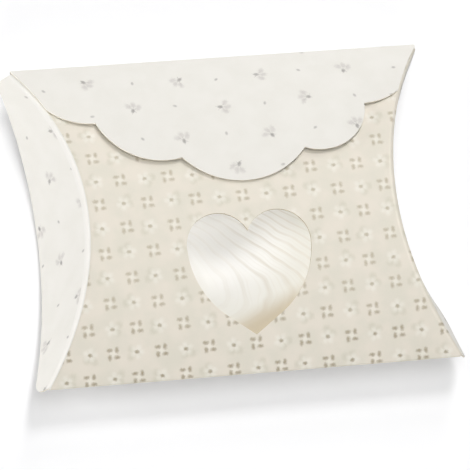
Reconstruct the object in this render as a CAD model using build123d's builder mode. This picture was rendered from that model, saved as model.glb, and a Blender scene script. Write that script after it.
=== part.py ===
"""A pillow box for small gifts, folded from one sheet of thin card.

The box lies on its bowed back panel. X runs along the straight folds, Y across the panels towards
the fold of the closing flap, and Z from the back panel up to the front panel. The origin is on the
surface that the box rests on, under the middle of the box.

Two bowed panels meet in a straight fold at the foot. The front panel ends in a tab that is glued
inside the back panel, and the back panel goes on round the top fold into a scalloped closing flap.
Each end is shut by two flaps: an inner one creased to the back panel, and over it an outer one
creased to the front panel.
"""

from build123d import *
from math import atan2, cos, degrees, radians, sin, sqrt, tan
import os

# The panels
box_width = 100.0
panel_height = 77.4
panel_bulge = 9.0
fold_half_depth = 0.5
card = 0.4

# The end creases and flaps
crease_inset = 12.5
end_flap_lean = 26.0
pushed_in_lean = 9.0
pushed_in_from_share = 0.2
foot_corner_from_share = 0.8
level_steps = 24
outer_edge_lift = 0.6
outer_edge_rise = 4.1
outer_corner_radius = 4.0
outer_side_set_in = 0.3
inner_flap_margin = 1.5
inner_flap_corner_trim = 2.5
inner_crease_set_in = 0.5

# The folds along the box
foot_fold_radius = 0.6
top_fold_radius = 0.9
tab_fold_radius = 0.45
glue_tab_width = 9.0

# The closing flap, its cusps and crowns as shares of the box width and the panel height
flap_gap = 0.3
flap_side_margin = 0.5
first_cusp_drop_share = 0.143
last_cusp_drop_share = 0.159
inner_cusp_shares = ((-0.321, 0.206), (-0.130, 0.342), (0.168, 0.336), (0.333, 0.199))
crown_shares = ((-0.383, 0.188), (-0.247, 0.320), (0.019, 0.429), (0.279, 0.322), (0.382, 0.187))

# The heart window in the front panel
heart_shift = 0.4
heart_notch_drop = 6.6
heart_lobe_drop = 9.7
heart_lobe_offset = 7.2
heart_lobe_radius = 7.75
heart_side_end_offset = 6.4
heart_side_end_drop = 26.1
heart_tip_drop = 30.6

# Clearances
crease_gap = 0.1
hinge_gap = 0.1
overrun = 3.0

# The two panels are parts of round cylinders whose axes run along X
half_height = panel_height / 2
half_depth = fold_half_depth + panel_bulge
panel_radius = (half_height**2 + panel_bulge**2) / (2 * panel_bulge)
front_axis_z = 2 * half_depth - panel_radius
back_axis_z = panel_radius
lean = radians(end_flap_lean)
flap_radius = panel_radius + flap_gap + card
back_inner_radius = panel_radius - card


def tangent_fold(front_radius, back_radius, fold_radius):
    """Centre and end angles of the fold that joins a circle about the front axis to one about
    the back axis: (y, z, angle at the front sheet, angle at the back sheet), in degrees."""
    to_front = front_radius - fold_radius
    to_back = back_radius - fold_radius
    apart = back_axis_z - front_axis_z
    z = front_axis_z + (to_front**2 - to_back**2 + apart**2) / (2 * apart)
    y = sqrt(to_front**2 - (z - front_axis_z) ** 2)
    front_angle = degrees(atan2(z - front_axis_z, y))
    back_angle = degrees(atan2(z - back_axis_z, y))
    return y, z, front_angle, back_angle


def arc_degrees(length, radius):
    """Angle of an arc of this length."""
    return degrees(length / radius)


def band(axis, inner_radius, outer_radius, start_angle, end_angle):
    """The area of a piece of a ring between two angles."""
    with BuildSketch() as ring:
        with BuildLine():
            outer = CenterArc(axis, outer_radius, start_angle, end_angle - start_angle)
            inner = CenterArc(axis, inner_radius, start_angle, end_angle - start_angle)
            Line(outer @ 0, inner @ 0)
            Line(outer @ 1, inner @ 1)
        make_face()
    return ring.sketch


foot_y, foot_z, foot_angle, _ = tangent_fold(panel_radius, panel_radius, foot_fold_radius)
top_y, top_z, top_front_angle, top_back_angle = tangent_fold(flap_radius, panel_radius, top_fold_radius)
tab_y, tab_z, tab_front_angle, tab_back_angle = tangent_fold(
    panel_radius, back_inner_radius, tab_fold_radius
)

# The box lies so that its two long folds are equally far from the origin
centre_y = (foot_y + foot_fold_radius - top_y - top_fold_radius) / 2
side_plane = Plane(origin=(0, centre_y, 0), x_dir=(0, 1, 0), z_dir=(1, 0, 0))
plan_plane = Plane(origin=(0, centre_y, 0), x_dir=(1, 0, 0), z_dir=(0, 0, 1))

front_axis = (0, front_axis_z)
back_axis = (0, back_axis_z)

# The outer end flaps lean outwards, so a level cut through one is a flatter arc than its crease
end_card = card / cos(lean)
end_hollow = crease_inset - panel_bulge * tan(lean)
corner_z = half_depth + fold_half_depth
low_z = -overrun
high_z = 2 * half_depth + overrun
low_end_x = box_width / 2 + (corner_z - low_z) * tan(lean)
lean_length = (high_z - low_z) / cos(lean)
lean_direction = (-sin(lean), 0, cos(lean))
fold_length = box_width - 2 * (end_card + crease_gap)
inner_end_x = box_width / 2 - inner_crease_set_in


def end_region(end_x, hollow, far_x):
    """The area outside an end crease, from its arc out to far_x."""
    reach = half_height + overrun
    with BuildSketch() as outside:
        with BuildLine():
            crease = ThreePointArc((end_x, -half_height), (end_x - hollow, 0), (end_x, half_height))
            Polyline(
                crease @ 1, (end_x, reach), (far_x, reach), (far_x, -reach), (end_x, -reach), crease @ 0
            )
        make_face()
    return outside.sketch


def end_strip(end_x, hollow, thickness):
    """The area of a strip of card that follows an end crease."""
    inner_x = end_x - thickness
    with BuildSketch() as strip:
        with BuildLine():
            outer = ThreePointArc((end_x, -half_height), (end_x - hollow, 0), (end_x, half_height))
            inner = ThreePointArc((inner_x, -half_height), (inner_x - hollow, 0), (inner_x, half_height))
            Line(outer @ 0, inner @ 0)
            Line(outer @ 1, inner @ 1)
        make_face()
    return strip.sketch


def flap_side_x(y):
    """Distance of the closing flap's side from the middle of the box, before its margin."""
    crease_radius = (half_height**2 + crease_inset**2) / (2 * crease_inset)
    return box_width / 2 - crease_inset + crease_radius - sqrt(crease_radius**2 - y**2)


def panel_z(y):
    """Height of the outside of the front panel."""
    return front_axis_z + sqrt(panel_radius**2 - y**2)


def end_crease_x(y):
    """Distance of the crease of an outer end flap from the middle of the box."""
    level_radius = (half_height**2 + end_hollow**2) / (2 * end_hollow)
    level_x = box_width / 2 - end_hollow + level_radius - sqrt(level_radius**2 - y**2)
    return level_x - (panel_z(y) - corner_z) * tan(lean)


def right_lean(y):
    """Tangent of the lean of the right end flap, which is pushed in but for its foot corner."""
    way = (-y / half_height - pushed_in_from_share) / (foot_corner_from_share - pushed_in_from_share)
    share = min(max(way, 0), 1)
    share = share**2 * (3 - 2 * share)
    return tan(radians(pushed_in_lean)) * (1 - share) + tan(lean) * share


def right_level(z, cards, gap):
    """Points of a level line on the right end flap, set in by a number of cards and a gap."""
    points = []
    for step in range(level_steps + 1):
        y = half_height * (2 * step / level_steps - 1)
        slope = right_lean(y)
        outside = end_crease_x(y) + (panel_z(y) - z) * slope
        points.append((outside - cards * card * sqrt(1 + slope**2) - gap, y))
    return points


def right_strip(z):
    """A level cut through the right end flap."""
    with BuildSketch() as strip:
        with BuildLine():
            outer = Spline(*right_level(z, 0, 0))
            inner = Spline(*right_level(z, 1, 0))
            Line(outer @ 0, inner @ 0)
            Line(outer @ 1, inner @ 1)
        make_face()
    return strip.sketch


def right_region(z):
    """A level cut through what the right end flap takes away from the front panel."""
    reach = half_height + overrun
    far_x = low_end_x + box_width / 2
    with BuildSketch() as outside:
        with BuildLine():
            crease = Spline(*right_level(z, 1, crease_gap))
            foot_x = (crease @ 0).X
            top_x = (crease @ 1).X
            Polyline(
                crease @ 1, (top_x, reach), (far_x, reach), (far_x, -reach), (foot_x, -reach), crease @ 0
            )
        make_face()
    return outside.sketch


def end_profile():
    """An outer end flap seen along X: its top under the crease, its bowed edge and its corners."""
    side_y = half_height - outer_side_set_in
    side_foot_z = outer_edge_lift + outer_edge_rise
    with BuildSketch() as profile:
        with BuildLine():
            edge = ThreePointArc((-side_y, side_foot_z), (0, outer_edge_lift), (side_y, side_foot_z))
            Polyline(edge @ 1, (side_y, 2 * half_depth), (-side_y, 2 * half_depth), edge @ 0)
        make_face()
        fillet(profile.vertices().group_by(Axis.Y)[0], radius=outer_corner_radius)
        with Locations(front_axis):
            Circle(panel_radius, mode=Mode.INTERSECT)
    return profile.sketch


# What the leaning left end flap takes away from the front panel, out to where no card is left
with BuildPart() as left_cutter:
    with BuildSketch(plan_plane.offset(low_z)):
        add(end_region(low_end_x - end_card - crease_gap, end_hollow, low_end_x + box_width / 2))
    extrude(amount=lean_length, dir=lean_direction)

# What the right end flap takes away from it
with BuildPart() as right_cutter:
    with BuildSketch(plan_plane.offset(low_z)):
        add(right_region(low_z))
    with BuildSketch(plan_plane.offset(high_z)):
        add(right_region(high_z))
    loft(ruled=True)

# The front panel with its heart window
with BuildPart() as front_panel:
    with BuildSketch(side_plane):
        add(band(front_axis, panel_radius - card, panel_radius, tab_front_angle, 180 - foot_angle))
    extrude(amount=box_width / 2 + overrun, both=True)
    with BuildSketch(plan_plane):
        with BuildLine():
            notch = (heart_shift, -heart_notch_drop)
            lobe_top = (heart_shift + heart_lobe_offset, heart_lobe_radius - heart_lobe_drop)
            lobe_side = (heart_shift + heart_lobe_offset + heart_lobe_radius, -heart_lobe_drop)
            side_end = (heart_shift + heart_side_end_offset, -heart_side_end_drop)
            tip = (heart_shift, -heart_tip_drop)
            ThreePointArc(notch, lobe_top, lobe_side)
            TangentArc(lobe_side, side_end, tangent=(0, -1))
            Line(side_end, tip)
            mirror(about=Plane.YZ.offset(heart_shift))
        make_face()
    extrude(amount=2 * half_depth + overrun, mode=Mode.SUBTRACT)
    add(right_cutter.part, mode=Mode.SUBTRACT)
    mirror(left_cutter.part, about=Plane.YZ, mode=Mode.SUBTRACT)

# The tab that the front panel ends in, folded back and glued inside the back panel
with BuildPart() as glue_tab:
    with BuildSketch(side_plane):
        tab_arc = arc_degrees(glue_tab_width, back_inner_radius)
        add(band((tab_y, tab_z), tab_fold_radius - card, tab_fold_radius, tab_back_angle, tab_front_angle))
        add(
            band(
                back_axis,
                back_inner_radius - card,
                back_inner_radius,
                tab_back_angle - tab_arc,
                tab_back_angle,
            )
        )
    extrude(amount=fold_length / 2, both=True)
    with BuildSketch(plan_plane):
        add(end_region(inner_end_x - card - crease_gap, crease_inset, box_width))
        mirror(about=Plane.YZ)
    extrude(amount=2 * half_depth, mode=Mode.SUBTRACT)

# The straight fold at the foot
with BuildPart() as foot_fold:
    with BuildSketch(side_plane):
        add(
            band(
                (-foot_y, foot_z),
                foot_fold_radius - card,
                foot_fold_radius,
                180 - foot_angle,
                180 + foot_angle,
            )
        )
    extrude(amount=fold_length / 2, both=True)

# The back panel, which bows out as the front one does
with BuildPart() as back_panel:
    with BuildSketch(side_plane):
        add(band(back_axis, back_inner_radius, panel_radius, foot_angle - 180, top_back_angle))
    extrude(amount=box_width / 2 + overrun, both=True)
    with BuildSketch(plan_plane.offset(low_z)):
        add(end_region(inner_end_x - card, crease_inset, box_width))
        mirror(about=Plane.YZ)
    extrude(amount=2 * half_depth + overrun, mode=Mode.SUBTRACT)

# The fold over the top, from the back panel to the closing flap
with BuildPart() as top_fold:
    with BuildSketch(side_plane):
        add(band((top_y, top_z), top_fold_radius - card, top_fold_radius, top_back_angle, top_front_angle))
    extrude(amount=fold_length / 2, both=True)

# The closing flap, bowed over the front panel, with five scallops
with BuildPart() as closing_flap:
    with BuildSketch(side_plane):
        start_angle = top_front_angle + arc_degrees(hinge_gap, flap_radius)
        add(band(front_axis, flap_radius - card, flap_radius, start_angle, 180 - foot_angle))
    extrude(amount=box_width / 2, both=True)
    with BuildSketch(plan_plane):
        first_y = half_height - first_cusp_drop_share * panel_height
        last_y = half_height - last_cusp_drop_share * panel_height
        cusps = [(-flap_side_x(first_y) + flap_side_margin, first_y)]
        for across, drop in inner_cusp_shares:
            cusps.append((across * box_width, half_height - drop * panel_height))
        cusps.append((flap_side_x(last_y) - flap_side_margin, last_y))
        crowns = [(across * box_width, half_height - drop * panel_height) for across, drop in crown_shares]
        side_x = box_width / 2 - flap_side_margin
        beyond = half_height + overrun
        with BuildLine():
            for start, crown, end in zip(cusps[:-1], crowns, cusps[1:]):
                ThreePointArc(start, crown, end)
            right_mid = (half_height + last_y) / 2
            ThreePointArc(
                cusps[-1], (flap_side_x(right_mid) - flap_side_margin, right_mid), (side_x, half_height)
            )
            Polyline((side_x, half_height), (side_x, beyond), (-side_x, beyond), (-side_x, half_height))
            left_mid = (half_height + first_y) / 2
            ThreePointArc(
                (-side_x, half_height), (flap_side_margin - flap_side_x(left_mid), left_mid), cusps[0]
            )
        make_face()
    extrude(amount=2 * half_depth + overrun, mode=Mode.INTERSECT)

# The right outer end flap, creased to the front panel, pushed in but for its foot corner
with BuildPart() as outer_flap_right:
    with BuildSketch(plan_plane.offset(low_z)):
        add(right_strip(low_z))
    with BuildSketch(plan_plane.offset(high_z)):
        add(right_strip(high_z))
    loft(ruled=True)
    with BuildSketch(side_plane):
        add(end_profile())
    extrude(amount=box_width, mode=Mode.INTERSECT)

# The left outer end flap leans out evenly; it is shaped at the right end and mirrored
with BuildPart() as leaning_flap:
    with BuildSketch(plan_plane.offset(low_z)):
        add(end_strip(low_end_x, end_hollow, end_card))
    extrude(amount=lean_length, dir=lean_direction)
    with BuildSketch(side_plane):
        add(end_profile())
    extrude(amount=box_width, mode=Mode.INTERSECT)

# The inner end flap, creased to the back panel and standing inside the outer one
with BuildPart() as inner_flap_right:
    with BuildSketch(plan_plane):
        add(end_strip(inner_end_x, crease_inset, card))
    extrude(amount=2 * half_depth)
    with BuildSketch(side_plane):
        with Locations(front_axis):
            Circle(panel_radius - inner_flap_margin)
        with Locations(back_axis):
            Circle(panel_radius, mode=Mode.INTERSECT)
        with Locations((0, half_depth)):
            Rectangle(
                2 * (half_height - inner_flap_corner_trim), 2 * half_depth, mode=Mode.INTERSECT
            )
    extrude(amount=box_width, mode=Mode.INTERSECT)

with BuildPart() as outer_flap_left:
    mirror(leaning_flap.part, about=Plane.YZ)

with BuildPart() as inner_flap_left:
    mirror(inner_flap_right.part, about=Plane.YZ)

pieces = {
    "front_panel": front_panel,
    "glue_tab": glue_tab,
    "foot_fold": foot_fold,
    "back_panel": back_panel,
    "top_fold": top_fold,
    "closing_flap": closing_flap,
    "outer_end_flap_left": outer_flap_left,
    "outer_end_flap_right": outer_flap_right,
    "inner_end_flap_left": inner_flap_left,
    "inner_end_flap_right": inner_flap_right,
}

os.makedirs("parts", exist_ok=True)
for name, piece in pieces.items():
    piece.part.label = name
    export_step(piece.part, f"parts/{name}.step")

hinge_angle = radians(top_front_angle + arc_degrees(hinge_gap, flap_radius) / 2)
flap_hinge_y = centre_y + flap_radius * cos(hinge_angle)
flap_hinge_z = front_axis_z + flap_radius * sin(hinge_angle)
print(f"closing flap hinge: y {flap_hinge_y:.3f}, z {flap_hinge_z:.3f}")
print(f"outer flap hinge: x {box_width / 2 - crease_inset:.3f}, z {2 * half_depth:.3f}")
print(f"middle of the box: y {centre_y:.3f}, panel radius {panel_radius:.3f}")
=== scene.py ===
"""A pillow box for small gifts, folded from one sheet of thin printed card.

The sheets are shaped in millimetres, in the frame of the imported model: X along the straight folds,
Y across the panels towards the fold of the closing flap, Z up from the back panel, which lies below.
Each sheet keeps its flat pattern, in millimetres, in the UV map "flat".
"""

import logging
from collections.abc import Callable, Iterable
from dataclasses import dataclass
from enum import Enum
from functools import cached_property, reduce
from math import asin, atan, atan2, cos, pi, radians, sin, sqrt, tan

import bmesh
import bpy
from mathutils import Matrix, Vector

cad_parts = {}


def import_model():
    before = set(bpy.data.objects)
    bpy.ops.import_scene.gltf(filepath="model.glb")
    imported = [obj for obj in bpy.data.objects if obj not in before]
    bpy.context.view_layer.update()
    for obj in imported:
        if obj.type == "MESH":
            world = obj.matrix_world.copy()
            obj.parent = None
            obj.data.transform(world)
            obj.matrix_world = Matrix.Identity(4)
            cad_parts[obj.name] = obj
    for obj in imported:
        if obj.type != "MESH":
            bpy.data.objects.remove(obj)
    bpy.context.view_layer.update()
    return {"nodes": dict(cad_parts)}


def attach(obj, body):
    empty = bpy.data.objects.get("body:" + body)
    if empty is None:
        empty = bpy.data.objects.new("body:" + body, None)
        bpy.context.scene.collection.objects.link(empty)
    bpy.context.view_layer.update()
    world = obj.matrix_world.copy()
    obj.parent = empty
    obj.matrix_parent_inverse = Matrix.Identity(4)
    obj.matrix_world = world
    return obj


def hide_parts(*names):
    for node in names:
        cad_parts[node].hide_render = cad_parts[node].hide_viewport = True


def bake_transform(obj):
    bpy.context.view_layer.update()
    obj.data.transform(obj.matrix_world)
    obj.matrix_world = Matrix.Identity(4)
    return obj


MM = 0.001

# Distances below which two places are taken for one, in millimetres
NEAR = 1e-4
CUT_NEAR = 1e-5
SAME = 1e-6

MIDDLE = (0.5, 0.5, 0.5)
FLAT = "flat"
REGION = "region"
RING_SIZES = ("count", "first", "last", "offset", "length", "breadth", "tilt", "softness")
LATTICE_SIZES = ("pitch_x", "pitch_y", "start_x", "start_y", "shift", "turn")

Colour = tuple[float, float, float, float]
Triple = tuple[float, float, float]
Pair = tuple[float, float]
Sheet = bmesh.types.BMesh
Edge = bmesh.types.BMEdge
Vert = bmesh.types.BMVert
Socket = bpy.types.NodeSocket

log = logging.getLogger("pillow_box")


class Side(Enum):
    """The two ends of the box, by the sign of X."""

    LEFT = -1
    RIGHT = 1


class Face(Enum):
    """The material slots of a sheet of card."""

    PRINT = 0
    CREASE = 1
    INSIDE = 2
    CUT = 3
    WINDOW = 4


class Space(Enum):
    """Where a finish reads its coordinates."""

    FLAT = "flat pattern"
    OBJECT = "object"


def srgb(red: float, green: float, blue: float) -> Colour:
    """A colour from display values of 0 to 255.

    Args:
        red: red part.
        green: green part.
        blue: blue part.

    Returns:
        The colour in scene values, with alpha.
    """

    def scene(value: float) -> float:
        """One part in scene values."""
        share = value / 255
        return share / 12.92 if share <= 0.04045 else ((share + 0.055) / 1.055) ** 2.4

    return scene(red), scene(green), scene(blue), 1.0


def clamped(value: float) -> float:
    """A value kept from 0 to 1."""
    return min(max(value, 0.0), 1.0)


def arc_radius(half_chord: float, rise: float) -> float:
    """Radius of an arc, from half its chord and its rise."""
    return (half_chord**2 + rise**2) / (2 * rise)


def spread(start: float, end: float, step: float) -> list[float]:
    """Values from start to end, both taken, about a step apart."""
    count = max(1, round(abs(end - start) / step))
    return [start + (end - start) * i / count for i in range(count + 1)]


def joined(*runs: list[float]) -> list[float]:
    """Runs of rising values in one list, without doubles.

    Args:
        runs: the runs, in order.

    Returns:
        The values.
    """
    values: list[float] = []
    for value in (value for run in runs for value in run):
        if not values or value > values[-1] + SAME:
            values.append(value)
    return values


# Shape of the box


@dataclass(frozen=True)
class Fold:
    """A straight fold along X: its centre, its radius and the angles where the sheets leave it."""

    y: float
    z: float
    radius: float
    front_angle: float
    back_angle: float

    def points(self, steps: int) -> list[Pair]:
        """Y and Z round the fold, from the front to the back, without the first.

        Args:
            steps: how many points.

        Returns:
            The points.
        """
        turn = self.back_angle - self.front_angle
        angles = [self.front_angle + turn * step / steps for step in range(1, steps + 1)]
        return [(self.y + self.radius * cos(a), self.z + self.radius * sin(a)) for a in angles]


@dataclass(frozen=True)
class BoxForm:
    """The sizes that all the sheets share, in millimetres."""

    width: float = 100.0
    height: float = 77.4
    bulge: float = 9.0
    fold_half_depth: float = 0.5
    card: float = 0.4
    crease_inset: float = 12.5
    inner_crease_set_in: float = 0.5
    lean: float = radians(26.0)
    pushed_in_lean: float = radians(9.0)
    pushed_in_from: float = 0.2
    foot_corner_from: float = 0.8
    flap_gap: float = 0.3
    foot_radius: float = 0.6
    top_radius: float = 0.9
    middle_y: float = -0.207

    @property
    def half_height(self) -> float:
        """Half the height of a panel."""
        return self.height / 2

    @property
    def half_depth(self) -> float:
        """Half the greatest depth of the box."""
        return self.fold_half_depth + self.bulge

    @property
    def radius(self) -> float:
        """Radius of the bowed panels."""
        return arc_radius(self.half_height, self.bulge)

    @property
    def flap_radius(self) -> float:
        """Radius of the closing flap, which lies over the front panel."""
        return self.radius + self.flap_gap + self.card

    @property
    def front_axis_z(self) -> float:
        """Height of the axis of the front panel."""
        return 2 * self.half_depth - self.radius

    def front_z(self, y: float) -> float:
        """Height of the front panel."""
        return self.front_axis_z + sqrt(self.radius**2 - y**2)

    def flap_z(self, y: float) -> float:
        """Height of the closing flap."""
        return self.front_axis_z + sqrt(self.flap_radius**2 - y**2)

    def back_z(self, y: float) -> float:
        """Height of the back panel."""
        return self.radius - sqrt(self.radius**2 - y**2)

    def front_crease_x(self, y: float) -> float:
        """Distance of the crease of an outer end flap from the middle of the box.

        Args:
            y: place along the crease.

        Returns:
            The distance along X.
        """
        hollow = self.crease_inset - self.bulge * tan(self.lean)
        bend = arc_radius(self.half_height, hollow)
        level = self.width / 2 - hollow + bend - sqrt(bend**2 - y**2)
        return level - (self.front_z(y) - self.half_depth - self.fold_half_depth) * tan(self.lean)

    def slope(self, side: Side, y: float) -> float:
        """Tangent of the lean of an outer end flap. The right one is pushed in but for its foot corner.

        Args:
            side: the end of the box.
            y: place along the crease.

        Returns:
            The way out for each way down.
        """
        if side is Side.LEFT:
            return tan(self.lean)
        reach = self.foot_corner_from - self.pushed_in_from
        share = clamped((-y / self.half_height - self.pushed_in_from) / reach)
        share = share**2 * (3 - 2 * share)
        return tan(self.pushed_in_lean) * (1 - share) + tan(self.lean) * share

    def back_crease_x(self, y: float) -> float:
        """Distance of the crease of an inner end flap from the middle of the box.

        Args:
            y: place along the crease.

        Returns:
            The distance along X.
        """
        bend = arc_radius(self.half_height, self.crease_inset)
        middle = self.width / 2 - self.inner_crease_set_in - self.crease_inset
        return middle + bend - sqrt(bend**2 - y**2)

    def fold(self, front_radius: float, fold_radius: float) -> Fold:
        """The fold that joins a sheet about the front axis to the back panel.

        Args:
            front_radius: radius of the sheet about the front axis.
            fold_radius: radius of the fold.

        Returns:
            The fold on the +Y side.
        """
        to_front = front_radius - fold_radius
        to_back = self.radius - fold_radius
        apart = self.radius - self.front_axis_z
        z = self.front_axis_z + (to_front**2 - to_back**2 + apart**2) / (2 * apart)
        y = sqrt(to_front**2 - (z - self.front_axis_z) ** 2)
        return Fold(y, z, fold_radius, atan2(z - self.front_axis_z, y), atan2(z - self.radius, y))


# Finishes


class Graph:
    """Short calls that add and join the nodes of a material or a group."""

    def __init__(self, tree: bpy.types.NodeTree) -> None:
        """Keeps the tree that the nodes go into."""
        self.tree = tree

    def node(self, kind: str, **settings: object) -> bpy.types.Node:
        """Adds a node and sets its options.

        Args:
            kind: identifier of the node, without its ShaderNode start.
            settings: its options by name.

        Returns:
            The node.
        """
        made = self.tree.nodes.new("ShaderNode" + kind)
        for name, value in settings.items():
            setattr(made, name, value)
        return made

    def put(self, socket: Socket, value: object) -> None:
        """Links a socket to another one, or gives it a value.

        Args:
            socket: the socket.
            value: the other socket, or the value.
        """
        if isinstance(value, Socket):
            self.tree.links.new(value, socket)
        else:
            socket.default_value = value

    def fed(self, made: bpy.types.Node, places: Iterable, values: Iterable) -> bpy.types.Node:
        """Puts values into a node's inputs.

        Args:
            made: the node.
            places: the inputs' names or numbers.
            values: as many values.

        Returns:
            The node.
        """
        for place, value in zip(places, values):
            self.put(made.inputs[place], value)
        return made

    def math(self, operation: str, *values: object) -> Socket:
        """The result of a sum on numbers."""
        return self.fed(self.node("Math", operation=operation), range(3), values).outputs[0]

    def times(self, first: object, *others: object) -> Socket:
        """The product of numbers."""
        return reduce(lambda product, other: self.math("MULTIPLY", product, other), others, first)

    def vector(self, operation: str, *values: object) -> Socket:
        """The result of a sum on vectors.

        Args:
            operation: name of the operation.
            values: the vectors, or a vector and a number for SCALE.

        Returns:
            The vector, or the number for LENGTH.
        """
        places = (0, "Scale") if operation == "SCALE" else range(3)
        made = self.fed(self.node("VectorMath", operation=operation), places, values)
        return made.outputs["Value" if operation == "LENGTH" else "Vector"]

    def parts(self, vector: object) -> list[Socket]:
        """X, Y and Z of a vector."""
        return list(self.fed(self.node("SeparateXYZ"), [0], [vector]).outputs)

    def point(self, x: object, y: object = 0.0, z: object = 0.0) -> Socket:
        """A vector from its parts."""
        return self.fed(self.node("CombineXYZ"), range(3), (x, y, z)).outputs[0]

    def turned(self, vector: object, angle: object) -> Socket:
        """A vector turned about Z."""
        made = self.node("VectorRotate", rotation_type="Z_AXIS")
        return self.fed(made, ("Vector", "Angle"), (vector, angle)).outputs[0]

    def noise(self, vector: object, scale: float, detail: float = 2.0) -> Socket:
        """A cloudy value of about 0 to 1."""
        made = self.node("TexNoise")
        return self.fed(made, ("Vector", "Scale", "Detail"), (vector, scale, detail)).outputs[0]

    def loosened(self, place: Socket, where: Socket, scale: float, reach: float) -> Socket:
        """A place in a motif, moved about a little so that its lines look drawn by hand.

        Args:
            place: the place in the motif.
            where: the place on the sheet.
            scale: how fast the shift changes over the sheet.
            reach: how far it goes.

        Returns:
            The moved place.
        """
        wobble = self.node("TexNoise", noise_dimensions="2D")
        self.fed(wobble, ("Vector", "Scale"), (where, scale))
        drift = self.vector("SUBTRACT", wobble.outputs["Color"], MIDDLE)
        return self.vector("ADD", place, self.vector("SCALE", drift, reach))

    def ramp(self, value: object, low: object, high: object) -> Socket:
        """A smooth step from 0 at low to 1 at high."""
        made = self.node("MapRange", interpolation_type="SMOOTHSTEP")
        return self.fed(made, ("Value", "From Min", "From Max"), (value, low, high)).outputs[0]

    def mix(self, share: object, first: object, second: object) -> Socket:
        """A colour between two others."""
        made = self.node("Mix", data_type="RGBA")
        return self.fed(made, (0, 6, 7), (share, first, second)).outputs[2]

    def group(self, tree: bpy.types.NodeTree, **values: object) -> bpy.types.Node:
        """Places a node group and sets its inputs, whose names have _ for a space."""
        names = [name.replace("_", " ") for name in values]
        return self.fed(self.node("Group", node_tree=tree), names, values.values())


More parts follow.
